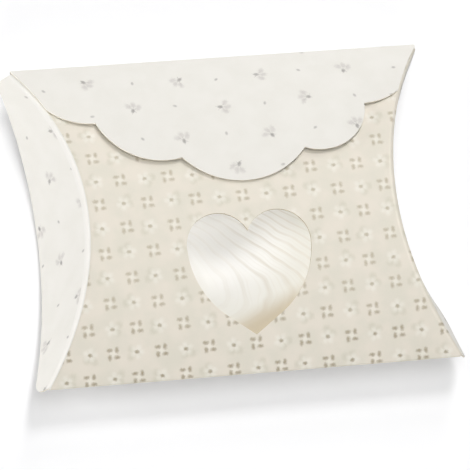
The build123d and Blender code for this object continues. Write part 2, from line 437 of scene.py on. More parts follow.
class Effects:
    """The node groups that the finishes share, each built once."""

    def __init__(self) -> None:
        """Builds the groups."""
        self.lattice = self._lattice()
        self.ring = self._ring()
        self.fibres = self._fibres()

    @staticmethod
    def _new(name: str, inputs: dict[str, float | None], outputs: dict[str, bool]) -> tuple:
        """An empty group with its sockets.

        Args:
            name: name of the group.
            inputs: start values by name, None for a vector.
            outputs: True by name for a vector, False for a number.

        Returns:
            The tree, its graph, its input sockets and its output sockets.
        """
        tree = bpy.data.node_groups.new(name, "ShaderNodeTree")
        for label, value in inputs.items():
            kind = "NodeSocketVector" if value is None else "NodeSocketFloat"
            made = tree.interface.new_socket(label, in_out="INPUT", socket_type=kind)
            if value is not None:
                made.default_value = value
        for label, is_vector in outputs.items():
            kind = "NodeSocketVector" if is_vector else "NodeSocketFloat"
            tree.interface.new_socket(label, in_out="OUTPUT", socket_type=kind)
        start = tree.nodes.new("NodeGroupInput")
        end = tree.nodes.new("NodeGroupOutput")
        return tree, Graph(tree), start.outputs, end.inputs

    def _lattice(self) -> bpy.types.NodeTree:
        """A lattice of cells, each with its own small shift and turn of what is drawn in it.

        Returns:
            The group: the place in the cell, 0 or 1 in turn, and a chance value for each cell.
        """
        sizes = {size.title().replace("_", " "): 0.0 for size in LATTICE_SIZES}
        outputs = {"Place": True, "Odd": False, "Chance": False}
        tree, graph, given, out = self._new("print lattice", {"Vector": None} | sizes, outputs)
        in_plane = (1.0, 1.0, 0.0)
        half = (0.5, 0.5, 0.0)
        chance_start = (7.5, 3.5, 0.0)
        pitch = graph.point(given["Pitch X"], given["Pitch Y"], 1.0)
        start = graph.point(given["Start X"], given["Start Y"])
        flat = graph.vector("MULTIPLY", given["Vector"], in_plane)
        scaled = graph.vector("DIVIDE", graph.vector("SUBTRACT", flat, start), pitch)
        cell = graph.vector("FLOOR", graph.vector("ADD", scaled, half))
        place = graph.vector("MULTIPLY", graph.vector("SUBTRACT", scaled, cell), pitch)
        across, up, _ = graph.parts(cell)
        odd = graph.math("FLOORED_MODULO", graph.math("ADD", across, up), 2.0)
        chance = graph.node("TexWhiteNoise", noise_dimensions="2D")
        graph.put(chance.inputs["Vector"], graph.vector("ADD", cell, chance_start))
        drift = graph.vector("SUBTRACT", chance.outputs["Color"], MIDDLE)
        drift = graph.vector("MULTIPLY", graph.vector("SCALE", drift, given["Shift"]), in_plane)
        turn = graph.times(chance.outputs["Value"], given["Turn"])
        graph.put(out["Place"], graph.turned(graph.vector("SUBTRACT", place, drift), turn))
        graph.put(out["Odd"], odd)
        graph.put(out["Chance"], chance.outputs["Value"])
        return tree

    def _ring(self) -> bpy.types.NodeTree:
        """Oval marks set round a centre, all of them or a fan.

        Returns:
            The group, whose mask is 1 on the marks.
        """
        sizes = {size.title(): 0.0 for size in RING_SIZES}
        tree, graph, given, out = self._new("mark ring", {"Vector": None} | sizes, {"Mask": False})
        sector = graph.math("DIVIDE", 2 * pi, given["Count"])
        x, y, _ = graph.parts(given["Vector"])
        count = graph.math("ROUND", graph.math("DIVIDE", graph.math("ARCTAN2", y, x), sector))
        count = graph.math("MAXIMUM", graph.math("MINIMUM", count, given["Last"]), given["First"])
        back = graph.times(count, sector, -1.0)
        moved = graph.turned(given["Vector"], back)
        moved = graph.vector("SUBTRACT", moved, graph.point(given["Offset"]))
        moved = graph.turned(moved, graph.times(given["Tilt"], -1.0))
        size = graph.point(given["Length"], given["Breadth"], 1.0)
        far = graph.vector("LENGTH", graph.vector("DIVIDE", moved, size))
        low = graph.math("SUBTRACT", 1.0, given["Softness"])
        high = graph.math("ADD", 1.0, given["Softness"])
        graph.put(out["Mask"], graph.math("SUBTRACT", 1.0, graph.ramp(far, low, high)))
        return tree

    def _fibres(self) -> bpy.types.NodeTree:
        """The felt of fine fibres on a sheet of card, with cloudy patches.

        Returns:
            The group: patches and fibres of 0 to 1, and a height.
        """
        tree, graph, given, out = self._new(
            "card fibres", {"Vector": None}, {"Patches": False, "Fibres": False, "Height": False}
        )
        cross_turn = 0.9
        patch_ends, fibre_ends = (0.32, 0.68), (0.3, 0.7)
        patches = graph.noise(given["Vector"], scale=0.16, detail=3.0)
        long_way = graph.vector("MULTIPLY", given["Vector"], (1.0, 3.2, 1.0))
        cross_way = graph.turned(given["Vector"], cross_turn)
        cross_way = graph.vector("MULTIPLY", cross_way, (1.0, 3.6, 1.0))
        long_fibres = graph.noise(long_way, scale=2.3, detail=4.0)
        cross_fibres = graph.noise(cross_way, scale=2.9, detail=3.0)
        fibres = graph.times(graph.math("ADD", long_fibres, cross_fibres), 0.5)
        graph.put(out["Patches"], graph.ramp(patches, *patch_ends))
        graph.put(out["Fibres"], graph.ramp(fibres, *fibre_ends))
        graph.put(out["Height"], fibres)
        return tree


@dataclass(frozen=True)
class Card:
    """Bare card: the base of every finish."""

    name: str
    ground: Colour
    patch: Colour
    fleck: Colour
    roughness: float = 0.62
    relief: float = 0.03
    space: Space = Space.FLAT
    through: Colour | None = None
    fleck_share: float = 0.5
    smoother: float = 0.06
    rougher: float = 0.08
    specular: float = 0.35
    relief_strength: float = 0.6

    def material(self, effects: Effects) -> bpy.types.Material:
        """The finish as a material.

        Args:
            effects: the shared node groups.

        Returns:
            The material.
        """
        made = bpy.data.materials.new(self.name)
        made.use_nodes = True
        made.node_tree.nodes.clear()
        graph = Graph(made.node_tree)
        shader = graph.node("BsdfPrincipled")
        surface = shader.outputs[0] if self.through is None else self._thin(graph, shader.outputs[0])
        graph.put(graph.node("OutputMaterial").inputs["Surface"], surface)
        if self.space is Space.FLAT:
            where = graph.node("UVMap", uv_map=FLAT).outputs[0]
        else:
            where = graph.vector("SCALE", graph.node("TexCoord").outputs["Object"], 1 / MM)
        felt = graph.group(effects.fibres, Vector=where).outputs
        colour = graph.mix(felt["Patches"], self.ground, self.patch)
        colour = graph.mix(graph.times(felt["Fibres"], self.fleck_share), colour, self.fleck)
        graph.put(shader.inputs["Base Color"], self.printed(graph, effects, where, colour))
        rough = graph.node("MapRange")
        ends = (self.roughness - self.smoother, self.roughness + self.rougher)
        graph.fed(rough, ("Value", "To Min", "To Max"), (felt["Fibres"], *ends))
        graph.put(shader.inputs["Roughness"], rough.outputs[0])
        graph.put(shader.inputs["Specular IOR Level"], self.specular)
        bump = graph.node("Bump")
        sizes = (self.relief_strength, self.relief * MM, felt["Height"])
        graph.fed(bump, ("Strength", "Distance", "Height"), sizes)
        graph.put(shader.inputs["Normal"], bump.outputs[0])
        return made

    def _thin(self, graph: Graph, surface: Socket) -> Socket:
        """Lets the light of the lamps through thin card, in its tint.

        Args:
            graph: the material's nodes.
            surface: the shader of the card.

        Returns:
            The shader of thin card.
        """
        clear = graph.node("BsdfTransparent")
        graph.put(clear.inputs["Color"], self.through)
        is_shadow = graph.node("LightPath").outputs["Is Shadow Ray"]
        mixed = graph.node("MixShader")
        return graph.fed(mixed, range(3), (is_shadow, surface, clear.outputs[0])).outputs[0]

    def printed(self, graph: Graph, effects: Effects, where: Socket, colour: Socket) -> Socket:
        """The colour with what is printed on it.

        Args:
            graph: the material's nodes.
            effects: the shared node groups.
            where: place on the sheet, in millimetres.
            colour: colour of the bare card.

        Returns:
            The colour of the printed card; bare card has no print.
        """
        return colour


@dataclass(frozen=True)
class Marks:
    """Oval marks set round a centre, in millimetres and radians, and how strongly they print."""

    length: float
    breadth: float
    strength: float
    softness: float = 0.6
    offset: float = 0.0
    count: float = 1.0
    first: float = -9.0
    last: float = 9.0
    tilt: float = 0.0

    def mask(self, graph: Graph, effects: Effects, place: Socket) -> Socket:
        """1 on the marks, round a place."""
        sizes = {size.title(): getattr(self, size) for size in RING_SIZES}
        return graph.group(effects.ring, Vector=place, **sizes).outputs[0]


@dataclass(frozen=True, kw_only=True)
class LatticePrint(Card):
    """Card with two motifs in turn on a lattice, in ink that took unevenly."""

    pitch_x: float
    pitch_y: float
    start_x: float
    start_y: float
    shift: float
    turn: float
    wobble: float
    wobble_scale: float
    ink_scale: float
    ink_range: float
    least_ink: float

    def motifs(self, graph: Graph, where: Socket, cell: bpy.types.NodeOutputs) -> tuple:
        """What this print draws in a cell of the lattice.

        Args:
            graph: the material's nodes.
            where: place on the sheet, in millimetres.
            cell: the place in the cell, 0 or 1 in turn, and a chance value.

        Returns:
            For each kind of marks in turn: the marks, their place, where they are drawn, their tone.
        """
        raise NotImplementedError

    def printed(self, graph: Graph, effects: Effects, where: Socket, colour: Socket) -> Socket:
        """The colour with the print. See Card.printed for the arguments and the result."""
        sizes = {size.title(): getattr(self, size) for size in LATTICE_SIZES}
        cell = graph.group(effects.lattice, Vector=where, **sizes).outputs
        ink = graph.noise(where, self.ink_scale)
        ink = graph.math("MULTIPLY_ADD", ink, self.ink_range, self.least_ink)
        for marks, place, where_drawn, tone in self.motifs(graph, where, cell):
            mask = marks.mask(graph, effects, place)
            share = graph.times(mask, where_drawn, ink, marks.strength)
            colour = graph.mix(share, colour, tone)
        return colour


@dataclass(frozen=True)
class FlowerPrint(LatticePrint):
    """Small flowers and rings of four leaf marks in turn, on a beige ground."""

    pitch_x: float = 5.72
    pitch_y: float = 5.88
    start_x: float = 0.32
    start_y: float = 2.09
    shift: float = 0.25
    turn: float = 0.0
    leaf: Colour = srgb(192, 181, 157)
    deep_leaf: Colour = srgb(158, 142, 112)
    deep_from: float = -18.0
    deep_to: float = -38.0
    petal: Colour = srgb(252, 248, 238)
    shade: Colour = srgb(211, 206, 186)
    side_marks: Marks = Marks(1.0, 0.8, 0.6, 0.75, 0.85, 3.0)
    petal_marks: Marks = Marks(0.78, 0.6, 0.72, 0.85, 0.85, 5.0)
    eye_mark: Marks = Marks(0.5, 0.4, 0.9)
    outer_marks: Marks = Marks(0.44, 0.38, 0.8, 0.8, 1.42, 4.0, tilt=0.6)
    inner_marks: Marks = Marks(0.42, 0.4, 0.75, 0.8, 1.05, 4.0, tilt=1.0)
    pale_mark: Marks = Marks(0.7, 0.7, 0.6, 0.7)
    outer_turn: float = -0.92
    inner_turn: float = -0.62
    flower_turn: float = 5.0
    side_shift: Triple = (0.85, 0.4, 0.0)
    wobble: float = 0.5
    wobble_scale: float = 2.2
    ink_scale: float = 1.7
    ink_range: float = 0.6
    least_ink: float = 0.5

    def motifs(self, graph: Graph, where: Socket, cell: bpy.types.NodeOutputs) -> tuple:
        """The flowers and rings. See LatticePrint.motifs for the arguments and the result."""
        flower = cell["Odd"]
        leaves = graph.math("SUBTRACT", 1.0, flower)
        place = graph.loosened(cell["Place"], where, self.wobble_scale, self.wobble)
        turned = graph.turned(place, graph.times(cell["Chance"], self.flower_turn))
        aside = graph.vector("ADD", turned, self.side_shift)
        low = graph.ramp(graph.parts(where)[1], self.deep_from, self.deep_to)
        leaf = graph.mix(low, self.leaf, self.deep_leaf)
        return (
            (self.side_marks, aside, flower, self.shade),
            (self.petal_marks, turned, flower, self.petal),
            (self.pale_mark, place, leaves, self.petal),
            (self.eye_mark, place, flower, leaf),
            (self.outer_marks, graph.turned(place, self.outer_turn), leaves, leaf),
            (self.inner_marks, graph.turned(place, self.inner_turn), leaves, leaf),
        )


@dataclass(frozen=True)
class SprigPrint(LatticePrint):
    """Scattered pale grey sprigs and single dots in turn, on an off-white ground."""

    pitch_x: float = 10.58
    pitch_y: float = 8.6
    start_x: float = -0.8
    start_y: float = 34.4
    shift: float = 2.4
    turn: float = 2 * pi
    bud: Colour = srgb(151, 145, 142)
    stem: Colour = srgb(184, 178, 174)
    petal: Colour = srgb(209, 204, 199)
    petal_marks: Marks = Marks(0.85, 0.56, 0.8, 0.7, 1.65, 8.0, -1.0, 1.0, 0.5)
    stem_marks: Marks = Marks(0.6, 0.09, 0.4, 0.6, 0.8, 9.0, -1.0, 1.0, 0.12)
    spur_marks: Marks = Marks(0.42, 0.08, 0.7, 0.6, 0.62, 5.0, 0.0, 1.0, -0.35)
    bud_mark: Marks = Marks(0.56, 0.4, 0.9)
    dot_mark: Marks = Marks(0.46, 0.3, 0.62)
    bud_place: Triple = (0.9, 0.0, 0.0)
    wobble: float = 0.7
    wobble_scale: float = 1.9
    ink_scale: float = 1.3
    ink_range: float = 0.8
    least_ink: float = 0.4

    def motifs(self, graph: Graph, where: Socket, cell: bpy.types.NodeOutputs) -> tuple:
        """The sprigs and dots. See LatticePrint.motifs for the arguments and the result."""
        sprig = cell["Odd"]
        dot = graph.math("SUBTRACT", 1.0, sprig)
        from_bud = graph.vector("SUBTRACT", cell["Place"], self.bud_place)
        loose = graph.loosened(from_bud, where, self.wobble_scale, self.wobble)
        facing = graph.turned(loose, pi)
        return (
            (self.petal_marks, facing, sprig, self.petal),
            (self.stem_marks, facing, sprig, self.stem),
            (self.spur_marks, loose, sprig, self.stem),
            (self.bud_mark, from_bud, sprig, self.bud),
            (self.dot_mark, cell["Place"], dot, self.bud),
        )


@dataclass(frozen=True)
class VeinedCard(Card):
    """The white inside, with faint nested veins as in pale wood, and with painted shade: it turns
    greyer away from a centre, and a warm brown painted shade lies in a band towards the foot.
    """

    vein: Colour = srgb(212, 206, 195)
    # Painted shade: the greyer tone that the inside turns to away from a centre, standing in for the
    # shade inside the box.
    painted_shade: Colour = srgb(226, 225, 219)
    # Painted shade: a warm brown band towards the foot, standing in for the darker, warmer light deep
    # in the narrow foot of the box.
    painted_warm_shade: Colour = srgb(188, 174, 148)
    vein_turn: float = 0.26
    vein_axis: float = 16.5
    vein_bow: float = 0.085
    drift: float = 12.0
    drift_scale: float = 0.06
    wave: float = 1.15
    wave_from: float = 0.3
    fine_wave: float = 3.3
    fine_from: float = 0.5
    fine_share: float = 0.35
    faint: float = 0.18
    growth: float = 0.42
    growth_ends: Pair = (-4.0, 10.0)
    uneven_scale: float = 0.25
    uneven_range: float = 0.9
    least_even: float = 0.25
    # Centre of the painted shade, and how far from it the shade starts and is full, in millimetres.
    painted_shade_centre: Triple = (-3.0, -1.0, 0.0)
    painted_shade_ends: Pair = (9.0, 24.0)
    # Where the band of warm painted shade lies, measured aslant across the sheet, and how strong it is.
    painted_warm_shade_turn: float = 1.15
    painted_warm_shade_rise: Pair = (19.5, 25.5)
    painted_warm_shade_fade: Pair = (35.0, 27.0)
    painted_warm_shade_share: float = 0.85

    def printed(self, graph: Graph, effects: Effects, where: Socket, colour: Socket) -> Socket:
        """The colour with the veins and the painted shade. See Card.printed for the arguments and the
        result.
        """
        along, across, _ = graph.parts(graph.turned(where, self.vein_turn))
        off_axis = graph.math("ADD", across, self.vein_axis)
        bow = graph.times(off_axis, off_axis, self.vein_bow)
        nested = graph.math("ADD", along, bow)
        bent = graph.math("MULTIPLY_ADD", graph.noise(where, self.drift_scale), self.drift, nested)
        wave = graph.ramp(graph.math("SINE", graph.times(bent, self.wave)), self.wave_from, 1.0)
        fine = graph.ramp(graph.math("SINE", graph.times(bent, self.fine_wave)), self.fine_from, 1.0)
        line = graph.math("MULTIPLY_ADD", fine, self.fine_share, wave)
        right, _, _ = graph.parts(where)
        strong = graph.ramp(right, *self.growth_ends)
        strong = graph.math("MULTIPLY_ADD", strong, self.growth, self.faint)
        uneven = graph.noise(where, self.uneven_scale)
        uneven = graph.math("MULTIPLY_ADD", uneven, self.uneven_range, self.least_even)
        share = graph.times(line, graph.times(strong, uneven))
        # Painted shade: greyer the further from the centre.
        far = graph.vector("LENGTH", graph.vector("SUBTRACT", where, self.painted_shade_centre))
        colour = graph.mix(graph.ramp(far, *self.painted_shade_ends), colour, self.painted_shade)
        colour = graph.mix(share, colour, self.vein)
        # Painted shade: a warm brown band, aslant, towards the foot.
        aslant, _, _ = graph.parts(graph.turned(where, self.painted_warm_shade_turn))
        painted_warm_shade_band = graph.times(graph.ramp(aslant, *self.painted_warm_shade_rise), graph.ramp(aslant, *self.painted_warm_shade_fade))
        return graph.mix(graph.times(painted_warm_shade_band, self.painted_warm_shade_share), colour, self.painted_warm_shade)


class Wardrobe:
    """Every finish of the box as a material."""

    def __init__(self) -> None:
        """Builds the shared groups, then the materials."""
        effects = Effects()
        clear = (1.0, 1.0, 1.0, 1.0)
        white = srgb(242, 239, 232)
        whites = white, srgb(238, 235, 227), srgb(245, 243, 237)
        beiges = srgb(240, 232, 218), srgb(231, 226, 211), srgb(241, 234, 221)
        creases = srgb(245, 242, 236), white, srgb(248, 246, 241)
        insides = srgb(253, 252, 251), srgb(251, 250, 248), srgb(254, 253, 252)
        flap_insides = srgb(242, 240, 234), srgb(240, 237, 231), srgb(245, 243, 238)
        cuts = srgb(240, 233, 218), srgb(228, 218, 198), srgb(246, 241, 230)
        # The window's cut edge is painted a darker brown: painted shade on the cut wall, which lies in
        # shadow below the front's face.
        window_shade_browns = srgb(176, 157, 122), srgb(160, 142, 108), srgb(196, 180, 150)
        # On the flap's inside, the veins and both painted shades take tones near its ground, so they
        # hardly show.
        evened = {"vein": srgb(222, 217, 207), "painted_shade": srgb(240, 238, 231), "painted_warm_shade": srgb(238, 235, 227)}
        rough = {"roughness": 0.8, "relief": 0.06, "space": Space.OBJECT}
        self.flowers = FlowerPrint("flower_print", *beiges, through=clear).material(effects)
        self.sprigs = SprigPrint("sprig_print", *whites).material(effects)
        self.crease = Card("white_crease", *creases, 0.7, 0.05).material(effects)
        self.inside = VeinedCard("veined_inside", *insides, through=clear).material(effects)
        self.flap_inside = VeinedCard("veined_flap_inside", *flap_insides, **evened).material(effects)
        self.cut = Card("cut_edge", *cuts, **rough).material(effects)
        self.window = Card("window_edge_painted_shade", *window_shade_browns, **rough).material(effects)
        self.plain = Card("plain_card", *whites, 0.66, 0.03, Space.OBJECT).material(effects)


# Sheets


@dataclass(frozen=True)
class Workshop:
    """Turns a bent sheet into a finished piece of card."""

    form: BoxForm
    wardrobe: Wardrobe
    sharp_angle: float = radians(38.0)

    def settled(self, piece: bpy.types.Object) -> None:
        """Applies a piece's modifiers to its mesh.

        Args:
            piece: the piece.
        """
        graph = bpy.context.evaluated_depsgraph_get()
        mesh = bpy.data.meshes.new_from_object(piece.evaluated_get(graph))
        piece.modifiers.clear()
        old = piece.data
        piece.data = mesh
        mesh.name = old.name
        bpy.data.meshes.remove(old)

    def loose(self, name: str, sheet: Sheet) -> bpy.types.Object:
        """An object from a sheet, moved and scaled into the frame.

        Args:
            name: name of the piece.
            sheet: the shape, in millimetres; it is freed here.

        Returns:
            The object, at the origin and unscaled.
        """
        bmesh.ops.translate(sheet, verts=sheet.verts[:], vec=(0, self.form.middle_y, 0))
        bmesh.ops.scale(sheet, verts=sheet.verts[:], vec=(MM, MM, MM))
        return placed_object(name, sheet)

    def card(
        self,
        name: str,
        sheet: Sheet,
        outside: bpy.types.Material,
        cutter: Sheet | None = None,
        inside: bpy.types.Material | None = None,
    ) -> bpy.types.Object:
        """A piece of card with a printed outside, an inside and cut edges.

        Args:
            name: name of the piece.
            sheet: its outer face, whose material indices are those of Face.
            outside: what the outside is printed with.
            cutter: a solid to cut out of it, if any.
            inside: what the inside is printed with, where it isn't that of the panels.

        Returns:
            The finished piece.
        """
        for face in sheet.faces:
            face.smooth = True
        piece = self.loose(name, sheet)
        wardrobe = self.wardrobe
        inside = inside or wardrobe.inside
        for material in (outside, wardrobe.crease, inside, wardrobe.cut, wardrobe.window):
            piece.data.materials.append(material)
        count = len(piece.data.polygons)
        wall = piece.modifiers.new("wall", "SOLIDIFY")
        wall.thickness = self.form.card * MM
        wall.offset = -1.0
        wall.use_even_offset = True
        wall.use_quality_normals = True
        self.settled(piece)
        for face in piece.data.polygons:
            if face.index >= 2 * count:
                face.material_index = Face.CUT.value
            elif face.index >= count:
                face.material_index = Face.INSIDE.value
        if cutter is not None:
            self._cut_out(piece, cutter)
        piece.data.set_sharp_from_angle(angle=self.sharp_angle)
        return piece

    def _cut_out(self, piece: bpy.types.Object, cutter: Sheet) -> None:
        """Cuts a solid out of a piece and gives the new edge the window's darker brown, which is
        painted shade.

        Args:
            piece: the piece.
            cutter: the solid, in millimetres.
        """
        for face in cutter.faces:
            face.material_index = Face.WINDOW.value
        tool = self.loose(piece.name + "_cutter", cutter)
        for material in piece.data.materials:
            tool.data.materials.append(material)
        cut = piece.modifiers.new("cut", "BOOLEAN")
        cut.operation = "DIFFERENCE"
        cut.solver = "EXACT"
        cut.object = tool
        self.settled(piece)
        bpy.data.objects.remove(tool)


def placed_object(name: str, sheet: Sheet) -> bpy.types.Object:
    """An object of the scene from a shape in metres.

    Args:
        name: name of the object.
        sheet: the shape; it is freed here.

    Returns:
        The object.
    """
    mesh = bpy.data.meshes.new(name)
    sheet.to_mesh(mesh)
    sheet.free()
    made = bpy.data.objects.new(name, mesh)
    bpy.context.scene.collection.objects.link(made)
    return made


def tagged(sheet: Sheet, keep: int) -> Sheet:
    """A copy of a sheet with the faces of one region.

    Args:
        sheet: the whole sheet, with the region of each face in its layer.
        keep: the region to keep.

    Returns:
        The copy.
    """
    part = sheet.copy()
    layer = part.faces.layers.int[REGION]
    bmesh.ops.delete(part, geom=[face for face in part.faces if face[layer] != keep], context="FACES")
    return part


def row_at(sheet: Sheet, y: float) -> list[Edge]:
    """The edges of a sheet that lie along X at one Y."""
    return [edge for edge in sheet.edges if all(abs(v.co.y - y) < NEAR for v in edge.verts)]


def extruded(sheet: Sheet, edges: list[Edge], y: float, z: float) -> list[Edge]:
    """Extrudes a row of edges along X to a new place.

    Args:
        sheet: the sheet.
        edges: the row.
        y: Y of the new row.
        z: Z of the new row.

    Returns:
        The new row.
    """
    grown = bmesh.ops.extrude_edge_only(sheet, edges=edges)["geom"]
    row = [v for v in grown if isinstance(v, Vert)]
    for vert in row:
        vert.co.y, vert.co.z = y, z
    return [e for e in grown if isinstance(e, Edge) and all(v in row for v in e.verts)]


def outward(sheet: Sheet, up: float) -> None:
    """Turns every face of an open sheet the same way.

    Args:
        sheet: the sheet.
        up: 1 where its biggest part faces up, -1 where it faces down.
    """
    bmesh.ops.recalc_face_normals(sheet, faces=sheet.faces[:])
    if sum(face.normal.z * face.calc_area() for face in sheet.faces) * up < 0:
        bmesh.ops.reverse_faces(sheet, faces=sheet.faces[:])


def mapped(sheet: Sheet, flat_place: Callable[[int, float, float, float], Pair]) -> None:
    """Writes the flat pattern of a bent sheet into its UV map.

    Args:
        sheet: the sheet.
        flat_place: the place in the flat pattern, from the region, X, Y and Z.
    """
    flat = sheet.loops.layers.uv.new(FLAT)
    region = sheet.faces.layers.int.get(REGION)
    for face in sheet.faces:
        part = face[region] if region is not None else 0
        for loop in face.loops:
            loop[flat].uv = flat_place(part, *loop.vert.co)


def circle_through(a: Vector, b: Vector, c: Vector) -> tuple[Vector, float]:
    """The circle arc from a through b to c, in the XY plane.

    Args:
        a: start.
        b: a point on the way.
        c: end.

    Returns:
        Its centre, and the turn from a to c.
    """
    ab = b - a
    ac = c - a
    cross = 2 * (ab.x * ac.y - ab.y * ac.x)
    x = (ac.y * ab.length_squared - ab.y * ac.length_squared) / cross
    y = (ab.x * ac.length_squared - ac.x * ab.length_squared) / cross
    centre = a + Vector((x, y))
    start, end = a - centre, c - centre
    turn = (atan2(end.y, end.x) - atan2(start.y, start.x)) % (2 * pi)
    return centre, turn if cross > 0 else turn - 2 * pi


@dataclass
class Outline:
    """A flat outline drawn vertex by vertex, as a cutting die is bent."""

    sheet: Sheet
    last: Vert
    least_steps: int = 4

    @classmethod
    def begin(cls, x: float, y: float) -> "Outline":
        """Starts an outline at a point."""
        sheet = bmesh.new()
        return cls(sheet, bmesh.ops.create_vert(sheet, co=(x, y, 0))["vert"][0])

    def arc(self, via: Pair, to: Pair, step: float = 0.5) -> None:
        """Goes on along an arc.

        Args:
            via: a point on the way.
            to: end of the arc.
            step: about the length of an edge.
        """
        centre, turn = circle_through(self.last.co.xy, Vector(via), Vector(to))
        length = abs(turn) * (self.last.co.xy - centre).length
        grown = bmesh.ops.spin(
            self.sheet,
            geom=[self.last],
            cent=(centre.x, centre.y, 0),
            axis=(0, 0, 1),
            dvec=(0, 0, 0),
            angle=turn,
            steps=max(self.least_steps, round(length / step)),
            use_duplicate=False,
        )
        self.last = next(v for v in grown["geom_last"] if isinstance(v, Vert))

    def line(self, x: float, y: float) -> None:
        """Goes on straight to a point.

        Args:
            x: X of the point.
            y: Y of the point.
        """
        end = bmesh.ops.create_vert(self.sheet, co=(x, y, 0))["vert"][0]
        self.sheet.edges.new((self.last, end))
        self.last = end

    def filled(self) -> Sheet:
        """Closes the outline and fills it with one face.

        Returns:
            The flat sheet.
        """
        bmesh.ops.remove_doubles(self.sheet, verts=self.sheet.verts[:], dist=NEAR)
        bmesh.ops.contextual_create(self.sheet, geom=self.sheet.edges[:])
        return self.sheet


@dataclass
class HeartWindow:
    """The heart cut out of the front panel, seen in plan, in millimetres from mid-height."""

    shift: float = 0.4
    notch_drop: float = 6.6
    lobe_drop: float = 9.7
    lobe_offset: float = 7.2
    lobe_radius: float = 7.75
    side_end_offset: float = 6.4
    side_end_drop: float = 26.1
    tip_drop: float = 30.6
    edge_step: float = 0.3
    cutter_foot: float = 4.0
    cutter_height: float = 30.0

    def cutter(self) -> Sheet:
        """The solid that cuts the window.

        Returns:
            A closed prism along Z.
        """
        lobe_side = Vector((self.lobe_offset + self.lobe_radius, -self.lobe_drop))
        end = Vector((self.side_end_offset, -self.side_end_drop))
        chord = end - lobe_side
        bend = chord.length_squared / (-2 * chord.x)
        middle = Vector((lobe_side.x - bend, lobe_side.y))
        via = middle + ((lobe_side + end) / 2 - middle).normalized() * bend
        lobe_top = self.lobe_offset, self.lobe_radius - self.lobe_drop
        half = Outline.begin(0.0, -self.notch_drop)
        half.arc(lobe_top, tuple(lobe_side), self.edge_step)
        half.arc(tuple(via), tuple(end), self.edge_step)
        half.line(0.0, -self.tip_drop)
        sheet = half.sheet
        bmesh.ops.mirror(sheet, geom=sheet.verts[:] + sheet.edges[:], axis="X", merge_dist=NEAR)
        bmesh.ops.contextual_create(sheet, geom=sheet.edges[:])
        grown = bmesh.ops.extrude_face_region(sheet, geom=sheet.faces[:])
        top = [v for v in grown["geom"] if isinstance(v, Vert)]
        bmesh.ops.translate(sheet, verts=top, vec=(0, 0, self.cutter_height))
        bmesh.ops.translate(sheet, verts=sheet.verts[:], vec=(self.shift, 0, self.cutter_foot))
        bmesh.ops.recalc_face_normals(sheet, faces=sheet.faces[:])
        return sheet


@dataclass
class EndEdge:
    """The free edge of an outer end flap, bowed, with rounded corners."""

    side: float
    lift: float = 0.8
    rise: float = 4.1
    corner: float = 4.0
    corner_turn: int = 9

    def corner_rows(self) -> list[float]:
        """Y of the points round a corner, outwards."""
        angles = [radians(angle) for angle in range(0, 91, self.corner_turn)]
        return [self.side - self.corner * (1 - sin(angle)) for angle in angles]

    def z(self, y: float) -> float:
        """Height of the edge at a place along it.

        Args:
            y: the place.

        Returns:
            The height.
        """
        bend = arc_radius(self.side, self.rise)
        corner_y = self.side - self.corner
        corner_z = self.lift + bend - sqrt((bend - self.corner) ** 2 - corner_y**2)
        if abs(y) > corner_y * bend / (bend - self.corner):
            return corner_z - sqrt(max(0.0, self.corner**2 - (abs(y) - corner_y) ** 2))
        return self.lift + bend - sqrt(bend**2 - y**2)


@dataclass(frozen=True)
class Bend:
    """The section of a sheet, at one Y, from the middle of a panel round its crease to a flap's edge.

    The panel's line is level in this section, and the flap's line is straight. A column is a place
    along the section: 0 to 1 on the panel, 1 to 2 round the crease, 2 to 3 on the flap.
    """

    crease_x: float
    panel_z: float
    edge_z: float
    lean: float
    radius: float
    up: float
    ridge: float = 0.0
    ridge_at: float = 0.2
    ridge_half_width: float = 0.5

    def raised(self, along: float) -> float:
        """How far the bead that the creasing leaves stands out, at a distance past the panel's line."""
        off = abs(along - self.ridge_at) / self.ridge_half_width
        return self.ridge * cos(off * pi / 2) ** 2 if off < 1 else 0.0

    def point(self, column: float) -> Pair:
        """A point of the section.

        Args:
            column: place along the section, 0 to 3.

        Returns:
            X, from the middle of the box outwards, and Z.
        """
        turn = pi / 2 - self.lean
        start_x = self.crease_x - self.radius * tan(turn / 2)
        if column <= 1:
            return start_x * column, self.panel_z + self.up * self.raised(start_x * (column - 1))
        angle = turn * min(column - 1, 1.0)
        bead = self.raised(self.radius * angle)
        x = start_x + (self.radius + bead) * sin(angle)
        z = self.panel_z - self.up * (self.radius * (1 - cos(angle)) - bead * cos(angle))
        if column <= 2:
            return x, z
        edge_x = self.crease_x + abs(self.panel_z - self.edge_z) * tan(self.lean)
        share = column - 2
        return x + (edge_x - x) * share, z + (self.edge_z - z) * share


